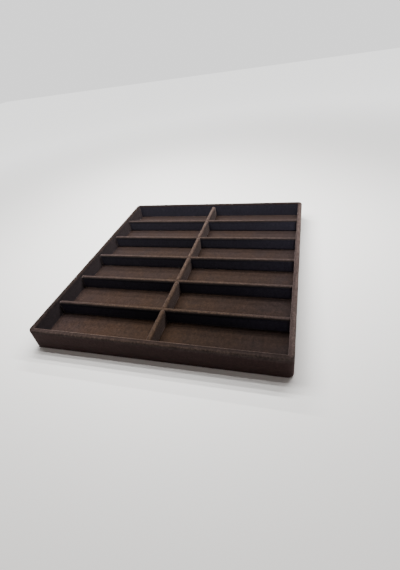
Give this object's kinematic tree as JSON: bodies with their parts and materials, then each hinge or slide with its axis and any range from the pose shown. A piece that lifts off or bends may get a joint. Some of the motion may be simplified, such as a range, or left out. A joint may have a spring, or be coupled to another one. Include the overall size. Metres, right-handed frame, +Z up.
{
  "type": "glasses display tray",
  "caption": "Shallow open velvet-covered tray whose low crossing dividers make two columns of long compartments for laying out folded glasses.",
  "frame": {"origin": "centre of the face that the tray rests on, under the middle of its outline", "axes": "+X to the right and +Y to the back as pictured, along the six rows of compartments; +Z up out of the open top"},
  "size_m": [0.35, 0.388, 0.033],
  "materials": {
    "brown_velvet": "short-pile brown velvet, matt with a soft sheen on edges",
    "underside_felt": "thin pressed felt, matt dark brown",
    "fibreboard": "medium-density fibreboard, sawn and unfinished",
    "grey_card": "stiff pulp board, uncoated",
    "steel_wire": "plain steel wire brads"
  },
  "bodies": {
    "root": {"base_lining": "underside_felt", "base_board": "fibreboard", "front_board": "fibreboard", "back_board": "fibreboard", "left_board": "fibreboard", "right_board": "fibreboard", "corner_brads": "steel_wire", "base_brads": "steel_wire", "rim_wrap": "brown_velvet", "floor_card": "grey_card", "floor_velvet": "brown_velvet", "centre_divider_core": "fibreboard", "centre_divider_sleeve": "brown_velvet", "cross_divider_core_1": "fibreboard", "cross_divider_sleeve_1": "brown_velvet", "cross_divider_core_2": "fibreboard", "cross_divider_sleeve_2": "brown_velvet", "cross_divider_core_3": "fibreboard", "cross_divider_sleeve_3": "brown_velvet", "cross_divider_core_4": "fibreboard", "cross_divider_sleeve_4": "brown_velvet", "cross_divider_core_5": "fibreboard", "cross_divider_sleeve_5": "brown_velvet"}
  },
  "joints": []
}
